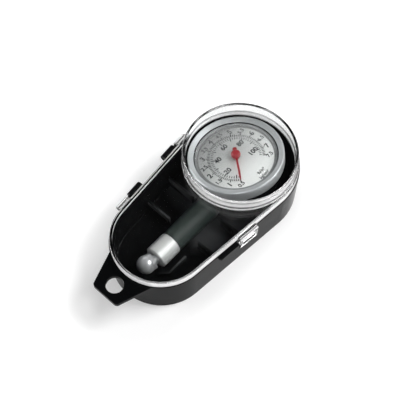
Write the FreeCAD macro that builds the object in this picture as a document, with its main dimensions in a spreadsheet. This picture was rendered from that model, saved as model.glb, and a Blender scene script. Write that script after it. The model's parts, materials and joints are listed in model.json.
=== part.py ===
import FreeCAD, Part
import math
import os
import re

import Sketcher

# Tyre pressure gauge lying in its hinged case. All sizes are in millimetres and degrees.
# The origin is at the bottom of the case, under the middle of the round window. +Z is up,
# +Y runs along the case towards the dial, and +X points to the latch side.
# The gauge has a frame of its own: its Y axis is the barrel's axis, its Z axis goes through
# the middle of the dial, and the whole gauge lies rolled a little towards the hinge.

Vector = FreeCAD.Vector
Placement = FreeCAD.Placement
Rotation = FreeCAD.Rotation

SIZES = {
    # Case outline: a large and a small end arc joined by their tangents
    "head_room": 5.9,
    "chuck_room": 7.34,
    "tab_end_radius": 25.5,
    # Case base
    "parting_height": 22.5,
    "base_step": 0.5,
    "base_floor": 2.0,
    "base_floor_fillet": 1.0,
    "base_foot_chamfer": 0.5,
    "lip_height": 1.4,
    "lip_wall": 0.65,
    "lip_clearance": 0.25,
    "rib_height": 9.0,
    "rib_width": 1.2,
    "rib_clearance": 3.15,
    "dial_rib_gap": 0.1,
    "rib_pitch": 17.8,
    "cradle_wall": 1.2,
    "cradle_height": 3.0,
    "cradle_turn": 3.0,
    # Hanging tab
    "tab_width": 2.2,
    "tab_root_depth": 5.0,
    "tab_root_half": 14.5,
    "tab_end_half": 7.9,
    "tab_reach": 14.4,
    "tab_hole_radius": 4.5,
    "tab_hole_from_end": 7.2,
    "tab_corner": 2.2,
    # Hinge: two knuckles on the base with stub pins, two ears on the lid outside them
    "hinge_offset": 2.6,
    "hinge_drop": 1.1,
    "hinge_middle": 30.5,
    "knuckle_radius": 2.0,
    "knuckle_length": 8.6,
    "knuckle_spread": 13.9,
    "hinge_side_gap": 1.95,
    "ear_radius": 1.6,
    "ear_length": 7.5,
    "hinge_pin_radius": 0.8,
    "hinge_pin_clearance": 0.05,
    # Case lid
    "lid_height": 4.2,
    "lid_wall": 1.4,
    "lid_roof": 1.6,
    "lid_edge_fillet": 0.5,
    "window_inset": 1.2,
    "window_room": 1.06,
    "window_wall": 1.4,
    "window_edge_fillet": 1.2,
    "window_foot_fillet": 0.6,
    # Latch tab of the lid, and the catch and thumb ledge of the base under it
    "latch_middle": 25.0,
    "latch_length": 11.8,
    "latch_drop": 6.5,
    "latch_plate": 1.3,
    "latch_gap": 0.7,
    "latch_rise": 2.6,
    "latch_frame": 1.9,
    "latch_bar": 1.7,
    "latch_window": 2.9,
    "catch_reach": 0.45,
    "catch_margin": 0.4,
    "ledge_gap": 0.8,
    "ledge_length": 12.5,
    "ledge_reach": 1.8,
    "ledge_width": 1.8,
    "ledge_below_parting": 1.8,
    "ledge_corner": 1.44,
    # Where the gauge lies
    "stem_offset": 0.4,
    "rest_gap": 0.25,
    "gauge_roll": 9.7,
    # Gauge shell
    "shell_radius": 23.3,
    "shell_back_radius": 14.5,
    "shell_draft": 0.9,
    "shell_shoulder": 1.8,
    "shell_side": 6.0,
    "shell_floor": 2.0,
    "shell_wall": 3.0,
    "shell_rim": 17.2,
    "rim_wall": 1.5,
    "dial_depth": 1.6,
    # Dial, spacer and crystal
    "dial_plate_width": 0.6,
    "dial_hole_radius": 1.6,
    "dial_clearance": 0.2,
    "spacer_wall": 1.3,
    "crystal_wall": 1.2,
    "crystal_inset": 0.3,
    "dome_clearance": 0.2,
    "hub_air": 1.1,
    # Bezel ring
    "bezel_wall": 1.75,
    "bezel_cover": 1.3,
    "bezel_skirt": 3.8,
    "bezel_lip": 0.45,
    "bezel_slope": 1.1,
    "bezel_crest": 0.6,
    "bezel_clearance": 0.05,
    # Needle
    "needle_height": 2.3,
    "needle_thickness": 0.35,
    "needle_margin": 4.3,
    "needle_root_half": 0.8,
    "needle_tip_half": 0.25,
    "needle_tail": 4.9,
    "needle_tail_half": 0.8,
    "needle_rest_angle": 40.0,
    "hub_radius": 2.75,
    "hub_below": 1.1,
    "hub_above": 2.0,
    "hub_dome": 1.2,
    "hub_socket": 1.6,
    # Movement: pinion on the arbor, driven by the rack
    "gear_module": 0.4,
    "pinion_teeth": 11,
    "pinion_width": 1.6,
    "pinion_gap": 0.15,
    "tooth_share": 0.43,
    "tooth_addendum": 0.25,
    "tooth_dedendum": 0.45,
    "pinion_tip": 0.3,
    "pressure_angle": 20.0,
    "arbor_radius": 0.9,
    "pivot_radius": 0.55,
    "pivot_clearance": 0.05,
    "bush_radius": 2.0,
    "bush_above_plate": 0.25,
    "plate_margin": 1.8,
    "plate_half_length": 8.0,
    "plate_thickness": 1.0,
    "bridge_margin": 1.7,
    "bridge_below_dial": 4.1,
    "bridge_thickness": 1.0,
    "pillar_radius": 1.5,
    "pillar_gap": 1.15,
    "pillar_along": 5.2,
    "screw_radius": 0.6,
    "screw_clearance": 0.05,
    "screw_head_radius": 1.3,
    "screw_head": 0.9,
    "screw_depth": 4.0,
    # Rack and its guide
    "rack_thickness": 1.2,
    "rack_body": 2.9,
    "rack_lead": 3.8,
    "rack_teeth_ahead": 2.5,
    "rack_foot": 1.8,
    "rack_foot_gap": 1.2,
    "shank_radius": 1.05,
    "guide_gap": 0.1,
    "guide_width": 1.7,
    "guide_half_length": 2.2,
    "guide_height": 2.6,
    # Barrel and what slides in it
    "boss_wall": 1.15,
    "boss_length": 12.1,
    "boss_reach": 1.0,
    "spigot_wall": 1.0,
    "spigot_length": 7.3,
    "spigot_clearance": 0.05,
    "rack_relief": 3.6,
    "barrel_gap": 0.1,
    "barrel_bore": 4.6,
    "barrel_tip_wall": 1.5,
    "barrel_length": 27.6,
    "seat_length": 3.5,
    "running_clearance": 0.05,
    "piston_length": 4.0,
    "piston_stop_gap": 0.3,
    "shank_socket": 3.0,
    "seal_width": 1.2,
    "seal_depth": 0.65,
    "seal_clearance": 0.02,
    "seal_groove_play": 0.1,
    "spring_wire": 0.35,
    "spring_play": 0.85,
    "spring_turns": 9,
    # Collar and its gasket
    "gasket_width": 0.5,
    "gasket_inset": 0.2,
    "collar_step": 0.2,
    "collar_length": 12.0,
    "collar_chamfer": 0.5,
    "collar_spigot": 1.7,
    "air_bore": 1.2,
    # Chuck
    "neck_radius": 2.75,
    "neck_clearance": 0.05,
    "neck_depth": 6.2,
    "neck_end_gap": 0.3,
    "chuck_pivot": 1.7,
    "chuck_tilt": 15.0,
    "flange_radius": 4.6,
    "flange_width": 2.0,
    "ball_wall": 0.95,
    "ball_reach": 4.2,
    "mouth_pitch": 60.0,
    "mouth_radius": 4.05,
    "mouth_height": 2.8,
    "mouth_floor": 0.6,
    "washer_width": 1.3,
    "washer_hole": 1.4,
    "washer_clearance": 0.05,
    "depressor_radius": 0.88,
    "depressor_socket": 2.0,
    "depressor_proud": 1.0,
    "depressor_head": 0.325,
}

# Lengths that follow from the sizes above, as formulas. First the head, from the barrel's axis up
PITCH_RADIUS = "(gear_module * pinion_teeth / 2)"
TOOTH_PITCH = "(gear_module * pi)"
PLATE_TOP = "(-pinion_width / 2 - pinion_gap - bush_above_plate)"
MOVEMENT_FLOOR = f"(plate_thickness - {PLATE_TOP})"
SHELL_BACK = f"({MOVEMENT_FLOOR} + shell_floor)"
DIAL_SEAT = "(shell_rim - dial_depth)"
DIAL_FACE = f"({DIAL_SEAT} + dial_plate_width)"
DIAL_RADIUS = "(shell_radius - rim_wall - dial_clearance)"
BRIDGE_HEIGHT = f"({DIAL_SEAT} - bridge_below_dial)"
BRIDGE_TOP = f"({BRIDGE_HEIGHT} + bridge_thickness)"
NEEDLE_LEVEL = f"({DIAL_FACE} + needle_height)"
NEEDLE_LENGTH = f"({DIAL_RADIUS} - spacer_wall - needle_margin)"
CRYSTAL_TOP = "(shell_rim + crystal_wall)"
DOME_APEX = f"({NEEDLE_LEVEL} + hub_above + hub_air)"
LIP_FLOOR = f"({CRYSTAL_TOP} + bezel_clearance)"
BEZEL_TOP = f"({LIP_FLOOR} + bezel_lip + bezel_slope)"
BEZEL_RADIUS = "(shell_radius + bezel_clearance + bezel_wall)"
BEZEL_OPENING = "(shell_radius - bezel_cover)"
DOME_EDGE = f"({BEZEL_OPENING} - dome_clearance)"

# Along the barrel, from the dial's axis
SPIGOT_RADIUS = "(barrel_bore + spigot_wall)"
BOSS_RADIUS = f"({SPIGOT_RADIUS} + boss_wall)"
BOSS_END = "(shell_radius + boss_reach)"
SPIGOT_END = f"({BOSS_END} - spigot_length)"
BARREL_START = f"({BOSS_END} + barrel_gap)"
BARREL_END = f"({BARREL_START} + barrel_length)"
TIP_RADIUS = "(barrel_bore + barrel_tip_wall)"
COLLAR_RADIUS = f"({TIP_RADIUS} + collar_step)"
PISTON_RADIUS = "(barrel_bore - running_clearance)"
COLLAR_FACE = f"({BARREL_END} + gasket_width)"
COLLAR_END = f"({COLLAR_FACE} + collar_length)"
COLLAR_STOP = f"({COLLAR_FACE} - collar_spigot)"
PISTON_FACE = f"({COLLAR_STOP} - piston_stop_gap)"
PISTON_BACK = f"({PISTON_FACE} - piston_length)"
NECK_START = f"({COLLAR_END} - neck_depth)"
CHUCK_PIVOT = f"({COLLAR_END} + chuck_pivot)"
BALL_RADIUS = "(mouth_radius + ball_wall)"
GAUGE_END = f"({CHUCK_PIVOT} + ball_reach * cos(chuck_tilt * 1 deg) + {BALL_RADIUS})"
RACK_ROOT = f"({PITCH_RADIUS} + tooth_dedendum)"
RACK_BACK = f"({RACK_ROOT} + rack_body)"
RACK_FOOT_END = f"({SPIGOT_END} - rack_foot_gap)"
RACK_FOOT_START = f"({RACK_FOOT_END} - rack_foot)"
PILLAR_ACROSS = f"({RACK_BACK} + pillar_gap + pillar_radius)"

# The case, which holds the gauge with some room round it
ROLL_SIN = "sin(gauge_roll * 1 deg)"
ROLL_COS = "cos(gauge_roll * 1 deg)"
BACK_REACH = f"({SHELL_BACK} * {ROLL_COS} + shell_back_radius * {ROLL_SIN})"
STEM_HEIGHT = f"(base_floor + rest_gap + max({BOSS_RADIUS}; {BACK_REACH}))"
HEAD_TOP = f"({STEM_HEIGHT} + {BEZEL_TOP} * {ROLL_COS} + {BEZEL_RADIUS} * {ROLL_SIN})"
DIAL_END_RADIUS = f"({BEZEL_RADIUS} + head_room)"
BASE_BORE = "(lid_wall + lip_clearance + lip_wall)"
END_DISTANCE = f"({GAUGE_END} + chuck_room + {BASE_BORE} - tab_end_radius)"
TAPER_SIN = f"(({DIAL_END_RADIUS} - tab_end_radius) / {END_DISTANCE})"
TAPER_COS = f"sqrt(1 - {TAPER_SIN}^2)"
HINGE_HEIGHT = "(parting_height - hinge_drop)"
EAR_SPREAD = "(knuckle_spread + knuckle_length / 2 + hinge_side_gap + ear_length / 2)"
LID_TOP = "(parting_height + lid_height)"
WINDOW_RADIUS = f"({DIAL_END_RADIUS} - window_inset)"
WINDOW_TOP = f"({HEAD_TOP} + window_room + lid_roof)"
DIAL_RIB = f"({BEZEL_RADIUS} + dial_rib_gap)"
RIB_NOTCH = f"({BOSS_RADIUS} + rib_clearance)"

# The spring's thin wire has an eight-sided section
WIRE_SIDES = 8

# The least length of an upright edge, and how near a point counts as the same
UPRIGHT = 0.5
NEAR = 0.001

doc = FreeCAD.newDocument("tyre_pressure_gauge")
sheet = doc.addObject("Spreadsheet::Sheet", "Sizes")
for row, (alias, number) in enumerate(SIZES.items(), start=1):
    sheet.set(f"A{row}", alias)
    sheet.set(f"B{row}", str(number))
    sheet.setAlias(f"B{row}", alias)
doc.recompute()


def formula(text):
    """The same formula with the sheet's name before each size."""
    return re.sub(r"[a-z][a-z_]*", lambda word: f"Sizes.{word[0]}" if word[0] in SIZES else word[0], text)


def bind(item, place, text):
    """Tie one value of an object to a formula of sizes."""
    item.setExpression(place, formula(text))


def worth(text):
    """What a formula of sizes comes to now."""
    answer = sheet.evalExpression(formula(text))
    return float(getattr(answer, "Value", answer))


def new_body(label):
    """An empty body with a label of its own."""
    part = doc.addObject("PartDesign::Body", label)
    part.Label = label
    return part


def new_sketch(part, role, lift="0"):
    """A sketch on one of the body's own planes, lifted along the plane's normal."""
    sketch = part.newObject("Sketcher::SketchObject", "Sketch")
    plane = next(item for item in part.Origin.OriginFeatures if item.Role == role)
    sketch.AttachmentSupport = (plane, [""])
    sketch.MapMode = "FlatFace"
    bind(sketch, ".AttachmentOffset.Base.z", lift)
    return sketch


def side_sketch(part, side, along):
    """An upright sketch across a straight side of the case. Its x axis lies across the side and
    starts on the lid's wall, and its y axis is the height. side is 1 at the latch, -1 at the hinge."""
    sketch = new_sketch(part, "XZ_Plane")
    taper = math.degrees(math.asin(worth(TAPER_SIN)))
    sketch.AttachmentOffset = Placement(Vector(), Rotation(Vector(0, -side, 0), taper))
    bind(sketch, ".AttachmentOffset.Base.x",
         f"{side} * ({TAPER_COS} * {DIAL_END_RADIUS} - {TAPER_SIN} * ({along}))")
    bind(sketch, ".AttachmentOffset.Base.z",
         f"{TAPER_SIN} * {DIAL_END_RADIUS} + {TAPER_COS} * ({along})")
    bind(sketch, ".AttachmentOffset.Rotation.Angle", f"asin({TAPER_SIN})")
    return sketch


def pin_point(sketch, curve, vertex, x, y):
    """Hold one point of a curve at a pair of formulas."""
    for kind, axis, text in (("DistanceX", -2, x), ("DistanceY", -1, y)):
        if text == "0":
            sketch.addConstraint(Sketcher.Constraint("PointOnObject", curve, vertex, axis))
        else:
            index = sketch.addConstraint(Sketcher.Constraint(kind, -1, 1, curve, vertex, 1.0))
            bind(sketch, f"Constraints[{index}]", text)


def polygon(sketch, corners):
    """A closed outline through corners, each a pair of formulas."""
    count = len(corners)
    angle = 2 * math.pi / count
    rough = [Vector(math.cos(angle * step), math.sin(angle * step), 0) for step in range(count)]
    first = sketch.GeometryCount
    for step in range(count):
        sketch.addGeometry(Part.LineSegment(rough[step], rough[(step + 1) % count]))
    for step in range(count):
        following = first + (step + 1) % count
        sketch.addConstraint(Sketcher.Constraint("Coincident", first + step, 2, following, 1))
    for step, (x, y) in enumerate(corners):
        pin_point(sketch, first + step, 1, x, y)


def box_corners(left, right, low, high):
    """The four corners of an upright rectangle."""
    return [(left, low), (right, low), (right, high), (left, high)]


def circle(sketch, x, y, radius):
    """A circle at a pair of formulas."""
    index = sketch.addGeometry(Part.Circle(Vector(0.1, 0.1, 0), Vector(0, 0, 1), 1.0))
    pin_point(sketch, index, 3, x, y)
    ring = sketch.addConstraint(Sketcher.Constraint("Radius", index, 1.0))
    bind(sketch, f"Constraints[{ring}]", radius)


def case_outline(sketch, inset):
    """The outline of the case, moved in by inset."""
    up = Vector(0, 0, 1)
    taper = math.asin(worth(TAPER_SIN))
    large = worth(f"{DIAL_END_RADIUS} - ({inset})")
    small = worth(f"tab_end_radius - ({inset})")
    centre = Vector(0, -worth(END_DISTANCE), 0)
    turned = [Vector(math.cos(taper), -math.sin(taper), 0), Vector(-math.cos(taper), -math.sin(taper), 0)]
    dial_arc = sketch.addGeometry(
        Part.ArcOfCircle(Part.Circle(Vector(), up, large), -taper, math.pi + taper))
    hinge_line = sketch.addGeometry(Part.LineSegment(turned[1] * large, centre + turned[1] * small))
    tab_arc = sketch.addGeometry(
        Part.ArcOfCircle(Part.Circle(centre, up, small), math.pi + taper, 2 * math.pi - taper))
    latch_line = sketch.addGeometry(Part.LineSegment(centre + turned[0] * small, turned[0] * large))
    chain = [dial_arc, hinge_line, tab_arc, latch_line]
    for step, curve in enumerate(chain):
        sketch.addConstraint(Sketcher.Constraint("Tangent", curve, 2, chain[(step + 1) % 4], 1))
    pin_point(sketch, dial_arc, 3, "0", "0")
    pin_point(sketch, tab_arc, 3, "0", f"-{END_DISTANCE}")
    for curve, radius, text in ((dial_arc, large, DIAL_END_RADIUS), (tab_arc, small, "tab_end_radius")):
        ring = sketch.addConstraint(Sketcher.Constraint("Radius", curve, radius))
        bind(sketch, f"Constraints[{ring}]", f"{text} - ({inset})")


def pad(part, sketch, length, both_ways=False):
    """Add the sketch's outline over a length, along its normal or half to each side."""
    feature = part.newObject("PartDesign::Pad", "Pad")
    feature.Profile = sketch
    if both_ways:
        feature.SideType = "Symmetric"
    bind(feature, "Length", length)
    return feature


def pocket(part, sketch, length):
    """Cut the sketch's outline over a length, against its normal."""
    feature = part.newObject("PartDesign::Pocket", "Pocket")
    feature.Profile = sketch
    bind(feature, "Length", length)
    return feature


def turn(part, sketch, kind="Revolution"):
    """Turn the sketch's outline about its upright axis, as metal or as a cut."""
    feature = part.newObject(f"PartDesign::{kind}", kind)
    feature.Profile = sketch
    feature.ReferenceAxis = (sketch, ["V_Axis"])
    feature.Angle = 360
    return feature


def soften(part, kind, size, chosen):
    """Fillet or chamfer the edges for which chosen holds."""
    doc.recompute()
    base = part.Tip
    names = [f"Edge{index}" for index, edge in enumerate(base.Shape.Edges, start=1) if chosen(edge)]
    feature = part.newObject(f"PartDesign::{kind}", kind)
    feature.Base = (base, names)
    bind(feature, "Radius" if kind == "Fillet" else "Size", size)
    return feature


def at_height(edge, height):
    """Whether a whole edge lies at one height."""
    return abs(edge.BoundBox.ZMin - height) < NEAR and abs(edge.BoundBox.ZMax - height) < NEAR


def upright_at(edge, x, y):
    """Whether an upright edge stands at a point."""
    middle = edge.CenterOfMass
    return edge.BoundBox.ZLength > UPRIGHT and math.hypot(middle.x - x, middle.y - y) < NEAR


def lay_in_case(item, across="0", along="0"):
    """Give an object modelled in the gauge's frame its place in the case."""
    item.Placement = Placement(Vector(), Rotation(Vector(0, -1, 0), worth("gauge_roll")))
    bind(item, ".Placement.Base.x", f"stem_offset + ({across}) * {ROLL_COS}")
    bind(item, ".Placement.Base.y", along)
    bind(item, ".Placement.Base.z", f"{STEM_HEIGHT} + ({across}) * {ROLL_SIN}")
    bind(item, ".Placement.Rotation.Angle", "gauge_roll * 1 deg")


def turned_part(label, role, corners, across="0", along="0"):
    """A gauge part turned from one outline, about the dial's axis or the barrel's."""
    part = new_body(label)
    sketch = new_sketch(part, role)
    polygon(sketch, corners)
    turn(part, sketch)
    lay_in_case(part, across, along)
    return part


def about_dial(label, corners, across="0", along="0"):
    """A turned part on the dial's axis, from pairs of radius and height."""
    return turned_part(label, "XZ_Plane", corners, across, along)


def about_barrel(label, corners):
    """A turned part on the barrel's axis, from pairs of radius and distance from the dial's axis."""
    return turned_part(label, "XY_Plane", [(radius, f"-({distance})") for radius, distance in corners])


def make_case_base():
    """Black tray with hinge knuckles, stub pins, thumb ledge, catch and hanging tab."""
    part = new_body("case_base")
    sketch = new_sketch(part, "XY_Plane")
    case_outline(sketch, "-base_step")
    pad(part, sketch, "parting_height")
    soften(part, "Chamfer", "base_foot_chamfer", lambda edge: at_height(edge, 0))

    tab_root = f"({END_DISTANCE} + tab_end_radius + base_step - tab_root_depth)"
    tab_end = f"({END_DISTANCE} + tab_end_radius + tab_reach)"
    sketch = new_sketch(part, "XY_Plane", "parting_height - tab_width")
    polygon(sketch, [("-tab_root_half", f"-{tab_root}"), ("-tab_end_half", f"-{tab_end}"),
                     ("tab_end_half", f"-{tab_end}"), ("tab_root_half", f"-{tab_root}")])
    pad(part, sketch, "tab_width")
    half = worth("tab_end_half")
    end = -worth(tab_end)
    soften(part, "Fillet", "tab_corner",
           lambda edge: upright_at(edge, half, end) or upright_at(edge, -half, end))
    sketch = new_sketch(part, "XY_Plane", "parting_height")
    circle(sketch, "0", f"tab_hole_from_end - {tab_end}", "tab_hole_radius")
    pocket(part, sketch, "tab_width")

    for sign in (1, -1):
        middle = f"hinge_middle + {sign} * knuckle_spread"
        start = f"({middle}) - knuckle_length / 2"
        sketch = side_sketch(part, -1, start)
        circle(sketch, "-hinge_offset", HINGE_HEIGHT, "knuckle_radius")
        pad(part, sketch, "knuckle_length")
        sketch = side_sketch(part, -1, start)
        polygon(sketch, [("0", f"{HINGE_HEIGHT} - knuckle_radius"),
                         ("-hinge_offset", f"{HINGE_HEIGHT} - knuckle_radius"),
                         ("-hinge_offset", f"{HINGE_HEIGHT} + knuckle_radius"),
                         ("0", "parting_height - base_step / 2")])
        pad(part, sketch, "knuckle_length")
        pin_reach = "(hinge_side_gap + ear_length)"
        pin_start = f"({middle}) + knuckle_length / 2" if sign > 0 else f"({start}) - {pin_reach}"
        sketch = side_sketch(part, -1, pin_start)
        circle(sketch, "-hinge_offset", HINGE_HEIGHT, "hinge_pin_radius")
        pad(part, sketch, pin_reach)

    window_low = "(parting_height - latch_drop + latch_bar)"
    catch_length = "(latch_length - 2 * latch_frame - 2 * catch_margin)"
    catch_low = f"{window_low} + catch_margin"
    catch_high = f"{window_low} + latch_window - catch_margin"
    sketch = side_sketch(part, 1, f"latch_middle - {catch_length} / 2")
    polygon(sketch, [("0", catch_low), ("base_step", catch_low),
                     ("base_step + catch_reach", f"{window_low} + latch_window / 2"),
                     ("base_step", catch_high), ("0", catch_high)])
    pad(part, sketch, catch_length)
    ledge_top = "parting_height - ledge_below_parting"
    sketch = side_sketch(part, 1, "latch_middle + latch_length / 2 + ledge_gap")
    polygon(sketch, box_corners("0", "base_step + ledge_reach", f"{ledge_top} - ledge_width", ledge_top))
    pad(part, sketch, "ledge_length")
    taper = math.asin(worth(TAPER_SIN))
    outward = Vector(math.cos(taper), -math.sin(taper), 0)
    backward = Vector(-math.sin(taper), -math.cos(taper), 0)
    corner = (outward * worth(f"{DIAL_END_RADIUS} + base_step + ledge_reach")
              + backward * worth("latch_middle + latch_length / 2 + ledge_gap + ledge_length"))
    soften(part, "Fillet", "min(ledge_corner; ledge_reach)",
           lambda edge: upright_at(edge, corner.x, corner.y))

    sketch = new_sketch(part, "XY_Plane", "parting_height")
    case_outline(sketch, BASE_BORE)
    pocket(part, sketch, "parting_height - base_floor")
    floor = worth("base_floor")
    soften(part, "Fillet", "base_floor_fillet", lambda edge: at_height(edge, floor))
    sketch = new_sketch(part, "XY_Plane", "parting_height")
    case_outline(sketch, "lid_wall + lip_clearance")
    case_outline(sketch, BASE_BORE)
    pad(part, sketch, "lip_height")

    for place in (DIAL_RIB, f"({DIAL_RIB} + rib_pitch)"):
        end = f"(({DIAL_END_RADIUS} - {BASE_BORE} / 2 - {place} * {TAPER_SIN}) / {TAPER_COS})"
        low = f"-{place} - rib_width / 2"
        high = f"-{place} + rib_width / 2"
        sketch = new_sketch(part, "XY_Plane", "base_floor - base_floor_fillet / 2")
        polygon(sketch, box_corners(f"-{end}", f"stem_offset - {RIB_NOTCH}", low, high))
        polygon(sketch, box_corners(f"stem_offset + {RIB_NOTCH}", end, low, high))
        pad(part, sketch, "rib_height - base_floor + base_floor_fillet / 2")

    side = f"(stem_offset + {RIB_NOTCH})"
    turned = f"{side} - cradle_wall - cradle_turn"
    sketch = new_sketch(part, "XY_Plane", "base_floor - base_floor_fillet / 2")
    polygon(sketch, [(f"{side} - cradle_wall", f"-{BARREL_END}"),
                     (f"{side} - cradle_wall", f"cradle_wall / 2 - {COLLAR_END}"),
                     (turned, f"cradle_wall / 2 - cradle_turn - {COLLAR_END}"),
                     (turned, f"-cradle_wall - cradle_turn - {COLLAR_END}"),
                     (side, f"-{COLLAR_END}"), (side, f"-{BARREL_END}")])
    pad(part, sketch, "cradle_height + base_floor_fillet / 2")
    return part


def make_case_lid():
    """Clear lid with the round window, two hinge ears and the latch tab."""
    part = new_body("case_lid")
    sketch = new_sketch(part, "XY_Plane", "parting_height")
    case_outline(sketch, "0")
    pad(part, sketch, "lid_height")
    sketch = new_sketch(part, "XY_Plane", "parting_height")
    circle(sketch, "0", "0", WINDOW_RADIUS)
    pad(part, sketch, f"{WINDOW_TOP} - parting_height")
    lid_top = worth(LID_TOP)
    window_top = worth(WINDOW_TOP)
    window_radius = worth(WINDOW_RADIUS)

    def is_window_foot(edge):
        """Whether an edge is the circle where the window stands on the lid."""
        radius = getattr(edge.Curve, "Radius", 0)
        return at_height(edge, lid_top) and abs(radius - window_radius) < NEAR

    soften(part, "Fillet", "window_edge_fillet", lambda edge: at_height(edge, window_top))
    soften(part, "Fillet", "min(lid_edge_fillet; window_inset * 2 / 5)",
           lambda edge: at_height(edge, lid_top) and not is_window_foot(edge))
    soften(part, "Fillet", "min(window_foot_fillet; window_inset / 2)", is_window_foot)

    for sign in (1, -1):
        start = f"hinge_middle + {sign} * {EAR_SPREAD} - ear_length / 2"
        sketch = side_sketch(part, -1, start)
        circle(sketch, "-hinge_offset", HINGE_HEIGHT, "ear_radius")
        pad(part, sketch, "ear_length")
        sketch = side_sketch(part, -1, start)
        polygon(sketch, [("lid_wall / 2", "parting_height + base_step / 2"),
                         ("lid_wall / 2", "parting_height + lid_height / 2"),
                         ("-hinge_offset", f"{HINGE_HEIGHT} + ear_radius"),
                         ("-hinge_offset", HINGE_HEIGHT),
                         ("ear_radius - hinge_offset - base_step / 2", "parting_height + base_step / 2")])
        pad(part, sketch, "ear_length")
        sketch = side_sketch(part, -1, f"{start} + ear_length")
        circle(sketch, "-hinge_offset", HINGE_HEIGHT, "hinge_pin_radius + hinge_pin_clearance")
        pocket(part, sketch, "ear_length")

    inner = "(base_step + latch_gap)"
    outer = f"({inner} + latch_plate)"
    low = "(parting_height - latch_drop)"
    start = "latch_middle - latch_length / 2"
    sketch = side_sketch(part, 1, start)
    opening_top = f"{low} + latch_bar + latch_window"
    shelf = "parting_height + base_step / 2"
    polygon(sketch, [("-lid_wall / 2", shelf), (inner, shelf), (inner, opening_top), (outer, opening_top),
                     (outer, "parting_height + latch_rise - latch_plate"),
                     (f"{outer} - latch_plate", "parting_height + latch_rise"),
                     ("-lid_wall / 2", "parting_height + latch_rise")])
    pad(part, sketch, "latch_length")
    sketch = side_sketch(part, 1, start)
    polygon(sketch, box_corners(inner, outer, low, f"{low} + latch_bar"))
    pad(part, sketch, "latch_length")
    for place in (start, "latch_middle + latch_length / 2 - latch_frame"):
        sketch = side_sketch(part, 1, place)
        polygon(sketch, box_corners(inner, outer, f"{low} + latch_bar / 2",
                                    f"{opening_top} + latch_bar / 2"))
        pad(part, sketch, "latch_frame")

    sketch = new_sketch(part, "XY_Plane", f"{LID_TOP} - lid_roof")
    case_outline(sketch, "lid_wall")
    pocket(part, sketch, "lid_height - lid_roof")
    sketch = new_sketch(part, "XY_Plane", f"{WINDOW_TOP} - lid_roof")
    circle(sketch, "0", "0", f"{WINDOW_RADIUS} - window_wall")
    pocket(part, sketch, f"{WINDOW_TOP} - lid_roof - parting_height")
    return part


def make_gauge_shell():
    """Round housing of the gauge, with the boss for the barrel."""
    part = new_body("gauge_shell")
    sketch = new_sketch(part, "XZ_Plane")
    polygon(sketch, [("0", f"-{SHELL_BACK}"), ("shell_back_radius", f"-{SHELL_BACK}"),
                     ("shell_radius - shell_draft", "shell_shoulder"), ("shell_radius", "shell_side"),
                     ("shell_radius", "shell_rim"), ("0", "shell_rim")])
    turn(part, sketch)
    sketch = new_sketch(part, "XZ_Plane", f"{BOSS_END} - boss_length")
    circle(sketch, "0", "0", BOSS_RADIUS)
    pad(part, sketch, "boss_length")
    bore = "(shell_radius - shell_wall)"
    rim_bore = "(shell_radius - rim_wall)"
    floor = f"-{MOVEMENT_FLOOR}"
    sketch = new_sketch(part, "XZ_Plane")
    polygon(sketch, [("0", floor), ("shell_back_radius + shell_floor / 4", floor),
                     (bore, "shell_shoulder + shell_floor / 4"), (bore, DIAL_SEAT),
                     (rim_bore, DIAL_SEAT), (rim_bore, "shell_rim"), ("0", "shell_rim")])
    turn(part, sketch, "Groove")
    sketch = new_sketch(part, "XZ_Plane", BOSS_END)
    circle(sketch, "0", "0", f"{SPIGOT_RADIUS} + spigot_clearance")
    pocket(part, sketch, "spigot_length + rack_relief")
    lay_in_case(part)
    return part


def make_crystal():
    """Domed clear window over the dial, with a flat rim."""
    part = new_body("dial_crystal")
    sketch = new_sketch(part, "XZ_Plane")
    top = worth(CRYSTAL_TOP)
    rim = worth("shell_rim")
    edge = worth(DOME_EDGE)
    inner_edge = worth(f"{DOME_EDGE} - crystal_wall / 2")
    radius = worth("shell_radius - crystal_inset")
    apex = worth(f"{DOME_APEX} + crystal_wall")
    inner_apex = worth(DOME_APEX)

    def dome(half_width, low, high):
        """An arc from the edge of a dome to its middle."""
        sphere = (half_width**2 + (high - low)**2) / (2 * (high - low))
        slope = math.asin(half_width / sphere)
        whole = Part.Circle(Vector(0, high - sphere, 0), Vector(0, 0, 1), sphere)
        return Part.ArcOfCircle(whole, math.pi / 2 - slope, math.pi / 2)

    outer = sketch.addGeometry(dome(edge, top, apex))
    axis = sketch.addGeometry(Part.LineSegment(Vector(0, apex, 0), Vector(0, inner_apex, 0)))
    inner = sketch.addGeometry(dome(inner_edge, rim, inner_apex))
    seat = sketch.addGeometry(Part.LineSegment(Vector(inner_edge, rim, 0), Vector(radius, rim, 0)))
    side = sketch.addGeometry(Part.LineSegment(Vector(radius, rim, 0), Vector(radius, top, 0)))
    ledge = sketch.addGeometry(Part.LineSegment(Vector(radius, top, 0), Vector(edge, top, 0)))
    joins = ((outer, 2, axis, 1), (axis, 2, inner, 2), (inner, 1, seat, 1), (seat, 2, side, 1),
             (side, 2, ledge, 1), (ledge, 2, outer, 1))
    for join in joins:
        sketch.addConstraint(Sketcher.Constraint("Coincident", *join))
    for arc in (outer, inner):
        sketch.addConstraint(Sketcher.Constraint("PointOnObject", arc, 3, -2))
    pin_point(sketch, axis, 1, "0", f"{DOME_APEX} + crystal_wall")
    pin_point(sketch, axis, 2, "0", DOME_APEX)
    pin_point(sketch, seat, 1, f"{DOME_EDGE} - crystal_wall / 2", "shell_rim")
    pin_point(sketch, side, 1, "shell_radius - crystal_inset", "shell_rim")
    pin_point(sketch, side, 2, "shell_radius - crystal_inset", CRYSTAL_TOP)
    pin_point(sketch, ledge, 2, DOME_EDGE, CRYSTAL_TOP)
    turn(part, sketch)
    lay_in_case(part)
    return part


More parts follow.
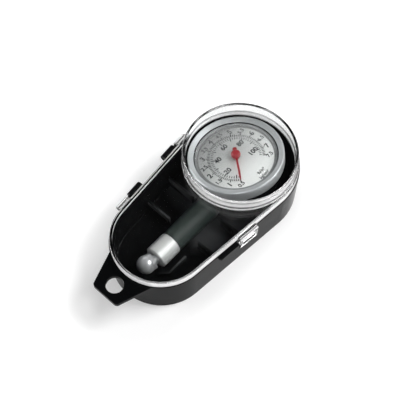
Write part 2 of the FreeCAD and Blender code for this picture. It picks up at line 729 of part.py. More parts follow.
def make_needle():
    """Tapered needle with a domed hub and a stub tail."""
    part = new_body("needle")
    sketch = new_sketch(part, "XY_Plane", f"{NEEDLE_LEVEL} - hub_below")
    circle(sketch, "0", "0", "hub_radius")
    pad(part, sketch, "hub_below + hub_above")
    top = worth(f"{NEEDLE_LEVEL} + hub_above")
    soften(part, "Fillet", "hub_dome", lambda edge: at_height(edge, top))
    sketch = new_sketch(part, "XY_Plane", NEEDLE_LEVEL)
    sketch.AttachmentOffset = Placement(Vector(), Rotation(Vector(0, 0, -1), worth("needle_rest_angle")))
    bind(sketch, ".AttachmentOffset.Rotation.Angle", "needle_rest_angle * 1 deg")
    polygon(sketch, [("-needle_tail", "-needle_tail_half"), ("0", "-needle_root_half"),
                     (NEEDLE_LENGTH, "-needle_tip_half"), (NEEDLE_LENGTH, "needle_tip_half"),
                     ("0", "needle_root_half"), ("-needle_tail", "needle_tail_half")])
    pad(part, sketch, "needle_thickness")
    sketch = new_sketch(part, "XY_Plane", f"{NEEDLE_LEVEL} - hub_below + hub_socket")
    circle(sketch, "0", "0", "pivot_radius + pivot_clearance")
    pocket(part, sketch, "hub_socket")
    lay_in_case(part)
    return part


def make_pinion():
    """Involute pinion on the arbor, with a tooth towards the rack."""
    width = worth("pinion_width")
    low = -width / 2
    teeth = int(worth("pinion_teeth"))
    pitch_radius = worth(PITCH_RADIUS)
    pressure = math.radians(worth("pressure_angle"))
    base_radius = pitch_radius * math.cos(pressure)
    tip_radius = pitch_radius + worth("pinion_tip")
    root_radius = pitch_radius - worth("tooth_dedendum")
    half_at_pitch = worth("tooth_share") * math.pi / teeth

    def half_angle(radius):
        """Half the angle of a tooth at a radius."""
        slope = math.acos(min(1, base_radius / radius))
        return half_at_pitch + math.tan(pressure) - pressure - math.tan(slope) + slope

    flank = [root_radius] + [base_radius + (tip_radius - base_radius) * step / 4 for step in range(5)]
    outline = []
    for tooth in range(teeth):
        middle = math.pi + 2 * math.pi * tooth / teeth
        for radius in flank:
            angle = middle - half_angle(max(radius, base_radius))
            outline.append(Vector(radius * math.cos(angle), radius * math.sin(angle), low))
        for radius in reversed(flank):
            angle = middle + half_angle(max(radius, base_radius))
            outline.append(Vector(radius * math.cos(angle), radius * math.sin(angle), low))
    face = Part.Face(Part.makePolygon(outline + outline[:1]))
    bore = Part.makeCylinder(worth("arbor_radius + pivot_clearance"), width, Vector(0, 0, low))
    part = doc.addObject("Part::Feature", "pinion")
    part.Label = "pinion"
    part.Shape = face.extrude(Vector(0, 0, width)).cut(bore)
    lay_in_case(part)
    return part


def make_movement_plate(label, low, thickness, half_length, screw_places):
    """Flat plate of the movement, with the hole for the arbor's bush and any screw holes."""
    part = new_body(label)
    sketch = new_sketch(part, "XY_Plane", low)
    half_width = f"({PILLAR_ACROSS} + plate_margin)"
    polygon(sketch, box_corners(f"-{half_width}", half_width, f"-{half_length}", half_length))
    circle(sketch, "0", "0", "bush_radius")
    for across, along in screw_places:
        circle(sketch, across, along, "screw_radius + screw_clearance")
    pad(part, sketch, thickness)
    lay_in_case(part)
    return part


def make_movement():
    """Plates, pillars, screws, bushes, arbor and pinion under the dial."""
    places = [(across, along) for across in (PILLAR_ACROSS, f"-{PILLAR_ACROSS}")
              for along in ("pillar_along", "-pillar_along")]
    parts = [
        make_movement_plate("movement_plate", f"-{MOVEMENT_FLOOR}", "plate_thickness",
                            "plate_half_length", []),
        make_movement_plate("movement_bridge", BRIDGE_HEIGHT, "bridge_thickness",
                            "(pillar_along + bridge_margin)", places),
    ]
    for number, (across, along) in enumerate(places, start=1):
        socket = f"{BRIDGE_TOP} - screw_depth - screw_clearance"
        parts.append(about_dial(f"pillar_{number}", [
            ("0", PLATE_TOP), ("pillar_radius", PLATE_TOP), ("pillar_radius", BRIDGE_HEIGHT),
            ("screw_radius + screw_clearance", BRIDGE_HEIGHT),
            ("screw_radius + screw_clearance", socket), ("0", socket)], across, along))
        parts.append(about_dial(f"bridge_screw_{number}", [
            ("0", f"{BRIDGE_TOP} - screw_depth"), ("screw_radius", f"{BRIDGE_TOP} - screw_depth"),
            ("screw_radius", BRIDGE_TOP), ("screw_head_radius", BRIDGE_TOP),
            ("screw_head_radius", f"{BRIDGE_TOP} + screw_head"), ("0", f"{BRIDGE_TOP} + screw_head")],
            across, along))
    bore = "pivot_radius + pivot_clearance"
    parts.append(about_dial("lower_bush", box_corners(
        bore, "bush_radius", f"-{MOVEMENT_FLOOR}", f"{PLATE_TOP} + bush_above_plate")))
    parts.append(about_dial("upper_bush", box_corners(
        "arbor_radius + pivot_clearance", "bush_radius", BRIDGE_HEIGHT,
        f"{BRIDGE_TOP} + bush_above_plate")))
    shoulder = f"({PLATE_TOP} + bush_above_plate + pivot_clearance)"
    needle_seat = f"({NEEDLE_LEVEL} - hub_below - pivot_clearance)"
    parts.append(about_dial("needle_arbor", [
        ("0", f"pivot_clearance - {MOVEMENT_FLOOR}"), ("pivot_radius", f"pivot_clearance - {MOVEMENT_FLOOR}"),
        ("pivot_radius", shoulder), ("arbor_radius", shoulder), ("arbor_radius", needle_seat),
        ("pivot_radius", needle_seat), ("pivot_radius", f"{needle_seat} + hub_socket"),
        ("0", f"{needle_seat} + hub_socket")]))
    parts.append(make_pinion())
    return parts


def make_rack():
    """Flat rack beside the pinion, with a foot and a round shank that goes to the piston."""
    part = new_body("rack")
    sketch = new_sketch(part, "XY_Plane")
    polygon(sketch, [(f"-{RACK_BACK}", "rack_lead"), (f"-{RACK_ROOT}", "rack_lead"),
                     (f"-{RACK_ROOT}", f"-{RACK_FOOT_START}"), ("shank_radius", f"-{RACK_FOOT_START}"),
                     ("shank_radius", f"-{RACK_FOOT_END}"), (f"-{RACK_BACK}", f"-{RACK_FOOT_END}")])
    pad(part, sketch, "rack_thickness", both_ways=True)
    sketch = new_sketch(part, "XZ_Plane", f"{RACK_FOOT_END} - rack_foot / 2")
    circle(sketch, "0", "0", "shank_radius")
    pad(part, sketch, f"{PISTON_BACK} + shank_socket - {RACK_FOOT_END} + rack_foot / 2 - seal_groove_play")
    half = f"(tooth_share * {TOOTH_PITCH} / 2)"
    slope = "tan(pressure_angle * 1 deg)"
    tip = f"({PITCH_RADIUS} - tooth_addendum)"
    root = f"({RACK_ROOT} + rack_body / 2)"
    middle = f"(rack_teeth_ahead * {TOOTH_PITCH})"
    teeth = f"floor({RACK_FOOT_START} / {TOOTH_PITCH} + rack_teeth_ahead + 1)"
    sketch = new_sketch(part, "XY_Plane")
    narrow = f"({half} - tooth_addendum * {slope})"
    wide_root = f"({half} + tooth_dedendum * {slope})"
    polygon(sketch, [(f"-{root}", f"{middle} - {wide_root}"), (f"-{RACK_ROOT}", f"{middle} - {wide_root}"),
                     (f"-{tip}", f"{middle} - {narrow}"), (f"-{tip}", f"{middle} + {narrow}"),
                     (f"-{RACK_ROOT}", f"{middle} + {wide_root}"), (f"-{root}", f"{middle} + {wide_root}")])
    tooth = pad(part, sketch, "rack_thickness", both_ways=True)
    row = part.newObject("PartDesign::LinearPattern", "Teeth")
    row.Originals = [tooth]
    row.Direction = (sketch, ["V_Axis"])
    row.Reversed = True
    bind(row, "Length", f"{TOOTH_PITCH} * ({teeth} - 1)")
    bind(row, "Occurrences", teeth)
    part.Tip = row
    lay_in_case(part)
    return part


def make_rack_guide():
    """Block on the movement plate that keeps the rack in mesh."""
    block = doc.addObject("Part::Box", "rack_guide")
    block.Label = "rack_guide"
    bind(block, "Length", "guide_width")
    bind(block, "Width", "2 * guide_half_length")
    bind(block, "Height", "guide_height")
    edge = f"({RACK_BACK} + guide_gap + guide_width)"
    lay_in_case(block, f"-{edge}", "-guide_half_length")
    bind(block, ".Placement.Base.x", f"stem_offset - {edge} * {ROLL_COS} - {PLATE_TOP} * {ROLL_SIN}")
    bind(block, ".Placement.Base.z", f"{STEM_HEIGHT} - {edge} * {ROLL_SIN} + {PLATE_TOP} * {ROLL_COS}")
    return block


def make_spring():
    """Coil spring round the shank, between the piston and the spring seat."""
    front = worth(PISTON_BACK)
    back = worth(f"{SPIGOT_END} + seat_length")
    wire = worth("spring_wire")
    coil = worth("barrel_bore - spring_wire - spring_play")
    turns = int(worth("spring_turns"))
    length = front - back - 2 * wire
    along_barrel = Placement(Vector(0, -back - wire, 0), Rotation(Vector(1, 0, 0), 90)).toMatrix()
    spine = Part.Wire(Part.makeHelix(length / turns, length, coil).Edges)
    angle = 2 * math.pi / WIRE_SIDES
    ring = [Vector(coil + wire * math.cos(angle * side), 0, wire * math.sin(angle * side))
            for side in range(WIRE_SIDES)]
    outline = Part.makePolygon(ring + ring[:1])
    part = doc.addObject("Part::Feature", "range_spring")
    part.Label = "range_spring"
    part.Shape = spine.makePipeShell([outline], True, True).transformed(along_barrel, True)
    lay_in_case(part)
    return part


def make_stem():
    """Barrel, spring seat, piston, seal, gasket and collar along the barrel's axis."""
    seat_end = f"({SPIGOT_END} + seat_length)"
    socket_end = f"{NECK_START} - neck_end_gap"
    groove_start = f"({PISTON_BACK} + (piston_length - seal_width) / 2)"
    groove_end = f"({groove_start} + seal_width)"
    groove = f"({PISTON_RADIUS} - seal_depth)"
    return [
        about_barrel("barrel", [
            ("barrel_bore", SPIGOT_END), (SPIGOT_RADIUS, SPIGOT_END),
            (SPIGOT_RADIUS, BARREL_START), (BOSS_RADIUS, BARREL_START),
            (TIP_RADIUS, BARREL_END), ("barrel_bore", BARREL_END)]),
        about_barrel("spring_seat", [
            ("shank_radius + running_clearance", SPIGOT_END),
            ("barrel_bore - seal_clearance", SPIGOT_END), ("barrel_bore - seal_clearance", seat_end),
            ("shank_radius + running_clearance", seat_end)]),
        about_barrel("piston", [
            ("0", PISTON_FACE), (PISTON_RADIUS, PISTON_FACE), (PISTON_RADIUS, groove_end),
            (groove, groove_end), (groove, groove_start), (PISTON_RADIUS, groove_start),
            (PISTON_RADIUS, PISTON_BACK), ("shank_radius + seal_clearance", PISTON_BACK),
            ("shank_radius + seal_clearance", f"{PISTON_BACK} + shank_socket"),
            ("0", f"{PISTON_BACK} + shank_socket")]),
        about_barrel("piston_seal", [
            (f"{groove} + seal_clearance", f"{groove_start} + seal_groove_play / 2"),
            ("barrel_bore - seal_clearance", f"{groove_start} + seal_groove_play / 2"),
            ("barrel_bore - seal_clearance", f"{groove_end} - seal_groove_play / 2"),
            (f"{groove} + seal_clearance", f"{groove_end} - seal_groove_play / 2")]),
        about_barrel("collar_gasket", [
            ("barrel_bore + seal_clearance", BARREL_END), (f"{TIP_RADIUS} - gasket_inset", BARREL_END),
            (f"{TIP_RADIUS} - gasket_inset", COLLAR_FACE), ("barrel_bore + seal_clearance", COLLAR_FACE)]),
        about_barrel("collar", [
            ("air_bore", COLLAR_STOP), (PISTON_RADIUS, COLLAR_STOP), (PISTON_RADIUS, COLLAR_FACE),
            (f"{COLLAR_RADIUS} - collar_chamfer", COLLAR_FACE),
            (COLLAR_RADIUS, f"{COLLAR_FACE} + collar_chamfer"),
            (COLLAR_RADIUS, f"{COLLAR_END} - collar_chamfer"),
            (f"{COLLAR_RADIUS} - collar_chamfer", COLLAR_END),
            ("neck_radius + neck_clearance", COLLAR_END),
            ("neck_radius + neck_clearance", socket_end), ("air_bore", socket_end)]),
    ]


def cylinder(label, radius, height, placement):
    """A cylinder that starts at a placement."""
    item = doc.addObject("Part::Cylinder", label)
    bind(item, "Radius", radius)
    bind(item, "Height", height)
    item.Placement = placement
    return item


def make_chuck():
    """Ball head on a flanged neck, with the mouth, its washer and the depressor pin."""
    pivot = Vector(0, -worth(CHUCK_PIVOT), 0)
    tilt = math.radians(worth("chuck_tilt"))
    pitch = math.radians(worth("mouth_pitch"))
    forward = Vector(-math.sin(tilt), -math.cos(tilt), 0)
    mouth = forward * math.cos(pitch) - Vector(0, 0, math.sin(pitch))
    up = Vector(0, 0, 1)
    ball_centre = pivot + forward * worth("ball_reach")

    def on_mouth_axis(distance):
        """A placement on the mouth's axis, at a distance from the ball's centre."""
        return Placement(ball_centre + mouth * distance, Rotation(up, mouth))

    neck_start = Vector(0, -worth(NECK_START), 0)
    neck = cylinder("neck", "neck_radius", f"{CHUCK_PIVOT} - {NECK_START} + flange_width / 2",
                    Placement(neck_start, Rotation(up, Vector(0, -1, 0))))
    flange = cylinder("flange", "flange_radius", "flange_width", Placement(pivot, Rotation(up, forward)))
    ball = doc.addObject("Part::Sphere", "ball")
    bind(ball, "Radius", BALL_RADIUS)
    ball.Placement = Placement(ball_centre, Rotation())
    solid = doc.addObject("Part::MultiFuse", "chuck_solid")
    solid.Shapes = [neck, flange, ball]
    floor = -worth("mouth_floor")
    hollow = cylinder("mouth", "mouth_radius", f"2 * {BALL_RADIUS}", on_mouth_axis(floor))
    rim = cylinder("rim", BALL_RADIUS, BALL_RADIUS, on_mouth_axis(worth("mouth_height")))
    socket = cylinder("pin_socket", "depressor_radius + seal_clearance", "depressor_socket * 2",
                      on_mouth_axis(floor - worth("depressor_socket")))
    air = cylinder("air_way", "air_bore", f"{CHUCK_PIVOT} - {NECK_START} + flange_width",
                   Placement(neck_start, Rotation(up, Vector(0, -1, 0))))
    cuts = doc.addObject("Part::MultiFuse", "chuck_cuts")
    cuts.Shapes = [hollow, rim, socket, air]
    chuck = doc.addObject("Part::Cut", "chuck_ball")
    chuck.Label = "chuck_ball"
    chuck.Base = solid
    chuck.Tool = cuts
    lay_in_case(chuck)

    ring = doc.addObject("Part::Cut", "chuck_washer")
    ring.Label = "chuck_washer"
    ring.Base = cylinder("washer_disc", "mouth_radius - washer_clearance", "washer_width",
                         on_mouth_axis(floor))
    ring.Tool = cylinder("washer_bore", "washer_hole", "washer_width * 3",
                         on_mouth_axis(floor - worth("washer_width")))
    lay_in_case(ring)

    pin = doc.addObject("Part::MultiFuse", "depressor_pin")
    pin.Label = "depressor_pin"
    reach = "depressor_socket + washer_width + depressor_proud"
    shaft = cylinder("depressor_shaft", "depressor_radius", reach,
                     on_mouth_axis(floor - worth("depressor_socket")))
    head = cylinder("depressor_head", "washer_hole - seal_clearance", "depressor_head",
                    on_mouth_axis(floor))
    pin.Shapes = [shaft, head]
    lay_in_case(pin)
    return [chuck, ring, pin]


def make_dial():
    """Dial plate, spacer, bezel and crystal over the movement."""
    plate = about_dial("dial_plate", box_corners(
        "dial_hole_radius", DIAL_RADIUS, DIAL_SEAT, DIAL_FACE))
    spacer = about_dial("dial_spacer", box_corners(
        f"{DIAL_RADIUS} - spacer_wall", DIAL_RADIUS, DIAL_FACE, "shell_rim"))
    bore = "shell_radius + bezel_clearance"
    foot = "shell_rim - bezel_skirt"
    bezel = about_dial("bezel_ring", [
        (bore, foot), (BEZEL_RADIUS, foot), (BEZEL_RADIUS, f"{BEZEL_TOP} - bezel_crest"),
        (f"{BEZEL_RADIUS} - bezel_crest", BEZEL_TOP), (BEZEL_OPENING, f"{LIP_FLOOR} + bezel_lip"),
        (BEZEL_OPENING, LIP_FLOOR), (bore, LIP_FLOOR)])
    return [plate, spacer, bezel, make_crystal()]


def check(parts):
    """Stop if an object failed or a sub-part isn't sound."""
    for item in doc.Objects:
        if "Invalid" in item.State or "Error" in item.State:
            raise RuntimeError(f"{item.Label} failed: {item.State}")
    for part in parts:
        shape = part.Shape
        if shape.isNull() or not shape.isValid() or not shape.Solids:
            raise RuntimeError(f"{part.Label} isn't a sound solid")


parts = [make_case_base(), make_case_lid(), make_gauge_shell(), make_needle(), make_rack(),
         make_rack_guide(), make_spring()]
parts += make_dial() + make_movement() + make_stem() + make_chuck()
doc.recompute()
check(parts)
os.makedirs("parts", exist_ok=True)
for part in parts:
    part.Shape.exportStep(f"parts/{part.Label}.step")
    print(f"{part.Label}: {len(part.Shape.Solids)} solid, {part.Shape.Volume:.2f} mm3")
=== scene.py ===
"""Tyre pressure gauge lying in its clear-lidded case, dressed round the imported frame.

The row frame is in metres. +Z is up, +Y runs along the case towards the dial and +X points to
the latch side. The gauge has a frame of its own: its Y axis is the barrel's axis and its Z axis
goes through the middle of the dial.
"""

import functools
import json
import logging
import math
from dataclasses import dataclass, field
from enum import Enum

import bpy
from mathutils import Matrix, Vector

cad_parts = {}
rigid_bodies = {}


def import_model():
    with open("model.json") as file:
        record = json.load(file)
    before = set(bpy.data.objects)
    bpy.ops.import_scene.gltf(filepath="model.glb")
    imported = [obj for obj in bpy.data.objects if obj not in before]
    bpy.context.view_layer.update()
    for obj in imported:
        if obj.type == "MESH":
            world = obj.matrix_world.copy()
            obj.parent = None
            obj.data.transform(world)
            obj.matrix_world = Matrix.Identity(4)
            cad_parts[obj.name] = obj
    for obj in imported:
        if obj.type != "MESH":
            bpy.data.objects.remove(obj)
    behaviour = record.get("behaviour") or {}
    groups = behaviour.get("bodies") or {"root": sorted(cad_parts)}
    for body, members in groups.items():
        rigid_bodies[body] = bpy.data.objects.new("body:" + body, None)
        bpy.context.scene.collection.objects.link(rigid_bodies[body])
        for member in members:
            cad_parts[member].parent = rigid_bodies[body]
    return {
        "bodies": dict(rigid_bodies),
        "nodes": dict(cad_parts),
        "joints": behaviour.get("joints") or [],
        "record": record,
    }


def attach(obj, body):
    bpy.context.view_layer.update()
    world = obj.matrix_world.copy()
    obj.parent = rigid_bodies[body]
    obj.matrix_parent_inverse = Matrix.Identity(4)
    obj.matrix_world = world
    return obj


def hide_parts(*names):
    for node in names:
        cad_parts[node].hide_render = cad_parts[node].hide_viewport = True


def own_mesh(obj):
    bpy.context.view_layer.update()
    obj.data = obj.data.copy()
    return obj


LOG = logging.getLogger("gauge")
MM = 0.001
GAUGE_ROLL = math.radians(9.7)
GAUGE_SIDE = 0.4 * MM
GAUGE_LIFT = 9 * MM
GAUGE_PLACE = (Matrix.Translation((GAUGE_SIDE, 0, GAUGE_LIFT))
               @ Matrix.Rotation(-GAUGE_ROLL, 4, "Y"))

SHARP_ANGLE = 32.0
FLAT_ANGLE = 0.6
WELD = 0.002 * MM
PAINTED_LIGHT_SHARE = "edge_share"
WHITE = (1.0, 1.0, 1.0)

Triple = tuple[float, float, float]


# Shader maths


class Value:
    """One output socket, with arithmetic that adds Math nodes."""

    def __init__(self, nodes: "Nodes", socket: bpy.types.NodeSocket) -> None:
        """Wrap a socket of a node tree."""
        self.nodes = nodes
        self.socket = socket

    def _with(self, operation: str, left: object, right: object) -> "Value":
        """The outcome of one Math node."""
        return self.nodes.add("ShaderNodeMath", {"operation": operation}, {0: left, 1: right})

    def __add__(self, other: object) -> "Value":
        """This value plus another."""
        return self._with("ADD", self, other)

    def __sub__(self, other: object) -> "Value":
        """This value less another."""
        return self._with("SUBTRACT", self, other)

    def __rsub__(self, other: object) -> "Value":
        """Another value less this one."""
        return self._with("SUBTRACT", other, self)

    def __mul__(self, other: object) -> "Value":
        """This value times another."""
        return self._with("MULTIPLY", self, other)

    __radd__ = __add__
    __rmul__ = __mul__


class Nodes:
    """The node tree of one material or world."""

    def __init__(self, owner: bpy.types.ID) -> None:
        """Start an empty tree on a material or world."""
        owner.use_nodes = True
        self.tree = owner.node_tree
        self.tree.nodes.clear()

    def add(self, kind: str, settings: dict | None = None, inputs: dict | None = None,
            out: int | str = 0) -> Value:
        """Add one node.

        Args:
            kind: The node's type name.
            settings: Attributes of the node, set first. "stops" fills a colour ramp.
            inputs: Socket name or number, and the number, colour or Value that goes in.
            out: The output that is returned.

        Returns:
            The chosen output.
        """
        node = self.tree.nodes.new(kind)
        for name, setting in (settings or {}).items():
            if name == "stops":
                while len(node.color_ramp.elements) < len(setting):
                    node.color_ramp.elements.new(0.5)
                for element, (place, colour) in zip(node.color_ramp.elements, setting):
                    element.position = place
                    element.color = (*colour, 1) if len(colour) == 3 else colour
            else:
                setattr(node, name, setting)
        for name, value in (inputs or {}).items():
            if isinstance(value, Value):
                self.tree.links.new(value.socket, node.inputs[name])
            elif isinstance(value, tuple) and len(value) == 3 and node.inputs[name].type == "RGBA":
                node.inputs[name].default_value = (*value, 1)
            else:
                node.inputs[name].default_value = value
        return Value(self, node.outputs[out] if node.outputs else None)

    def place(self, name: str = "Object") -> Value:
        """The coordinates of the shaded point."""
        return self.add("ShaderNodeTexCoord", out=name)

    def noise(self, scale: float, detail: float = 3.0, stretch: Triple = (1, 1, 1)) -> Value:
        """Noise over the object.

        Args:
            scale: Waves per metre.
            detail: How many finer layers it has.
            stretch: Factors on the three coordinates.

        Returns:
            The noise, from 0 to 1.
        """
        mapped = self.add("ShaderNodeMapping", {"vector_type": "POINT"},
                          {"Vector": self.place(), "Scale": stretch})
        return self.add("ShaderNodeTexNoise", {"noise_dimensions": "3D"},
                        {"Vector": mapped, "Scale": scale, "Detail": detail}, out="Fac")

    def gauge_place(self) -> Value:
        """The coordinates of the shaded point in the gauge's own frame."""
        return self.add("ShaderNodeMapping", {"vector_type": "TEXTURE"},
                        {"Vector": self.place(), "Location": (GAUGE_SIDE, 0, GAUGE_LIFT),
                         "Rotation": (0, -GAUGE_ROLL, 0)})

    def mix(self, share: object, first: object, second: object) -> Value:
        """A mix of two colours."""
        return self.add("ShaderNodeMix", {"data_type": "RGBA"},
                        {0: share, 6: first, 7: second}, out=2)

    def axis(self, place: Value, number: int) -> Value:
        """One coordinate of a place: 0, 1 or 2 for X, Y or Z."""
        return self.add("ShaderNodeSeparateXYZ", None, {0: place}, out=number)

    def length(self, place: Value) -> Value:
        """The length of a vector."""
        return self.add("ShaderNodeVectorMath", {"operation": "LENGTH"}, {0: place}, out="Value")

    def grade(self, value: Value, start: float, end: float, low: float = 0.0, high: float = 1.0,
              kind: str = "LINEAR") -> Value:
        """A value that goes from low to high between a start and an end.

        Args:
            value: What is read.
            start: Where low is left.
            end: Where high is reached.
            low: The outcome at the start.
            high: The outcome at the end.
            kind: The name of the interpolation.

        Returns:
            The outcome, held at its ends.
        """
        return self.add("ShaderNodeMapRange", {"interpolation_type": kind},
                        {"Value": value, "From Min": start, "From Max": end,
                         "To Min": low, "To Max": high})

    def spread(self, value: Value, low: float, high: float) -> Value:
        """A value from 0 to 1 brought between low and high."""
        return value * (high - low) + low

    def bump(self, height: Value, depth: float) -> Value:
        """A normal bent by a height from 0 to 1, where 1 stands for a depth in metres."""
        return self.add("ShaderNodeBump", None,
                        {"Height": height, "Distance": depth, "Strength": 1.0})

    def surface(self, shader: Value) -> None:
        """Make a shader the surface."""
        self.add("ShaderNodeOutputMaterial", None, {"Surface": shader})


# Finishes


@dataclass(frozen=True)
class Finish:
    """A finish of one material slot."""

    name: str
    colour: Triple
    roughness: float = 0.4
    metallic: float = 0.0
    grain: float = 900.0
    relief: float = 0.01 * MM
    wear: float = 0.12
    shine: float = 0.5
    refraction: float = 1.5
    edge_wear: float = 0.0
    worn_colour: Triple = (0.32, 0.33, 0.34)
    sharp_start: float = 0.53
    sharp_end: float = 0.63
    wear_top: float = 18 * MM
    wear_fade: float = 1 * MM
    rough_spread: float = 0.18
    cloud_part: float = 0.6
    cloud_size: float = 12.0

    def height(self, nodes: Nodes) -> Value:
        """The fine relief of the surface, from 0 to 1."""
        return nodes.noise(self.grain, 4.0)

    def base(self, nodes: Nodes, cloud: Value) -> Value:
        """The colour, a little darker and lighter over the surface, and painted pale on sharp low edges
        as a painted highlight.
        """
        dark = tuple(channel * (1 - self.wear) for channel in self.colour)
        light = tuple(min(1.0, channel * (1 + self.wear)) for channel in self.colour)
        plain = nodes.mix(cloud, dark, light)
        if not self.edge_wear:
            return plain
        # Painted highlight: sharp edges below a height, such as the tray's rib edges, are painted pale
        # as if light caught them.
        sharp = nodes.add("ShaderNodeNewGeometry", out="Pointiness")
        painted_highlight = nodes.grade(sharp, self.sharp_start, self.sharp_end, 0.0, self.edge_wear)
        below = nodes.grade(nodes.axis(nodes.place(), 2), self.wear_top,
                            self.wear_top + self.wear_fade, 1.0, 0.0)
        return nodes.mix(painted_highlight * below, plain, self.worn_colour)

    def build(self) -> bpy.types.Material:
        """Build the material.

        Returns:
            The material.
        """
        made = bpy.data.materials.new(f"{self.name}_finish")
        nodes = Nodes(made)
        cloud = nodes.noise(self.grain / self.cloud_size, 3.0)
        height = self.height(nodes)
        uneven = cloud * self.cloud_part + height * (1 - self.cloud_part)
        rough = nodes.spread(uneven, self.roughness * (1 - self.rough_spread),
                             self.roughness * (1 + self.rough_spread))
        nodes.surface(nodes.add("ShaderNodeBsdfPrincipled", None, {
            "Base Color": self.base(nodes, cloud),
            "Roughness": rough,
            "Metallic": self.metallic,
            "Specular IOR Level": self.shine,
            "IOR": self.refraction,
            "Normal": nodes.bump(height, self.relief),
        }))
        return made


@dataclass(frozen=True)
class TurnedFinish(Finish):
    """Metal turned on a lathe, with fine rings along the barrel's axis."""

    rings: float = 2600.0

    def height(self, nodes: Nodes) -> Value:
        """Rings across the barrel's axis."""
        return nodes.noise(self.rings, 2.0, (0.02, 1, 0.02))


@dataclass(frozen=True)
class RadialFinish(Finish):
    """Metal brushed round the dial's axis."""

    rings: float = 3200.0

    def radius(self, nodes: Nodes) -> Value:
        """The distance from the dial's axis."""
        flat = nodes.add("ShaderNodeVectorMath", {"operation": "MULTIPLY"},
                         {0: nodes.gauge_place(), 1: (1, 1, 0)})
        return nodes.length(flat)

    def height(self, nodes: Nodes) -> Value:
        """Rings round the dial's axis."""
        spot = nodes.add("ShaderNodeCombineXYZ", None, {0: self.radius(nodes)})
        return nodes.add("ShaderNodeTexNoise", {"noise_dimensions": "3D"},
                         {"Vector": spot, "Scale": self.rings, "Detail": 2.0}, out="Fac")


@dataclass(frozen=True)
class SheenFinish(RadialFinish):
    """Brushed metal with a painted sheen: its colour runs across the dial, from painted shade on the
    hinge side to light.
    """

    dark_end: float = -21 * MM
    light_end: float = 13.02 * MM
    dark_side: float = 0.17
    rim: float = 19.4 * MM
    rim_fade: float = 0.3 * MM
    rim_shade: float = 0.75
    rim_colour: Triple = (0.10, 0.10, 0.105)

    def base(self, nodes: Nodes, cloud: Value) -> Value:
        """The colour: painted shade and sheen graded along the gauge's X axis, and a darker rim that is
        partly a grey ring and partly a painted shadow of the bezel.
        """
        # Painted shade and sheen: dark on the hinge side and light on the latch side, standing in for
        # the bezel's shadow and the light falling from the latch side.
        share = nodes.grade(nodes.axis(nodes.gauge_place(), 0), self.dark_end, self.light_end)
        painted_shade_colour = tuple(channel * self.dark_side for channel in self.colour)
        painted_sheen_colour = nodes.mix(share, painted_shade_colour, super().base(nodes, cloud))
        # Painted shadow of the bezel at the rim, together with the grey ring's own tone.
        rim = nodes.grade(self.radius(nodes), self.rim, self.rim + self.rim_fade, 0.0, self.rim_shade)
        return nodes.mix(rim, painted_sheen_colour, self.rim_colour)


@dataclass(frozen=True)
class ClearFinish(Finish):
    """Clear plastic that lets lamps reach what lies behind it.

    Upright faces picked by a per-face attribute are partly painted pale: a painted glow that stands
    in for light carried through the plastic. Its painted highlight bands run round the window: each
    stop has a place on the window's height and a tone.
    """

    edge_light: float = 0.9
    edge_colour: Triple = (0.93, 0.925, 0.93)
    edge_roughness: float = 0.12
    rough_spread: float = 0.4
    banded: bool = True
    band_low: float = 27.0 * MM
    band_high: float = 35.6 * MM
    band_start: float = 27.2 * MM
    sway: float = 3.2 * MM
    stops: tuple[tuple[float, float], ...] = (
        (0.0, 0.0), (0.08, 0.25), (0.15, 0.0), (0.24, 0.3), (0.31, 0.0),
        (0.42, 0.9), (0.60, 1.0), (0.68, 0.1), (0.80, 0.05), (0.90, 1.0))

    def streak(self, nodes: Nodes) -> Value:
        """Painted highlight bands, light and dark, that run round the window, and an even painted glow
        below it.
        """
        if not self.banded:
            return nodes.spread(nodes.noise(900, 1.0), 0.8, 1.1)
        height = nodes.axis(nodes.place(), 2)
        swayed = height + nodes.spread(nodes.noise(36, 0.0, (1, 1, 0.2)), -self.sway / 2, self.sway / 2)
        level = nodes.grade(swayed, self.band_low, self.band_high)
        bands = nodes.add("ShaderNodeValToRGB",
                          {"stops": [(place, (tone,) * 3) for place, tone in self.stops]}, {0: level})
        above = nodes.add("ShaderNodeMath", {"operation": "GREATER_THAN"},
                          {0: height, 1: self.band_start})
        even = nodes.spread(nodes.noise(500, 2.0, (1, 1, 0.3)), 0.9, 1.1)
        return nodes.mix(above, even, bands)

    def build(self) -> bpy.types.Material:
        """Build the material.

        Returns:
            The material.
        """
        made = bpy.data.materials.new(f"{self.name}_finish")
        nodes = Nodes(made)
        cloud = nodes.noise(self.grain, 2.0)
        glass = nodes.add("ShaderNodeBsdfPrincipled", None, {
            "Base Color": self.colour,
            "Roughness": nodes.spread(cloud, self.roughness * (1 - self.rough_spread),
                                      self.roughness * (1 + self.rough_spread)),
            "IOR": self.refraction,
            "Transmission Weight": 1.0,
        })
        open_film = nodes.add("ShaderNodeBsdfTransparent", None, {"Color": self.colour})
        lamp_ray = nodes.add("ShaderNodeLightPath", out="Is Shadow Ray")
        clear = nodes.add("ShaderNodeMixShader", None, {0: lamp_ray, 1: glass, 2: open_film})
        share = nodes.add("ShaderNodeAttribute", {"attribute_name": PAINTED_LIGHT_SHARE}, out="Fac")
        # Painted light: a pale shader mixed onto the picked faces, standing in for light carried
        # through the plastic.
        pale = nodes.add("ShaderNodeBsdfPrincipled", None,
                         {"Base Color": self.edge_colour, "Roughness": self.edge_roughness})
        painted_light_mix = share * self.streak(nodes) * self.edge_light
        nodes.surface(nodes.add("ShaderNodeMixShader", None, {0: painted_light_mix, 1: clear, 2: pale}))
        return made


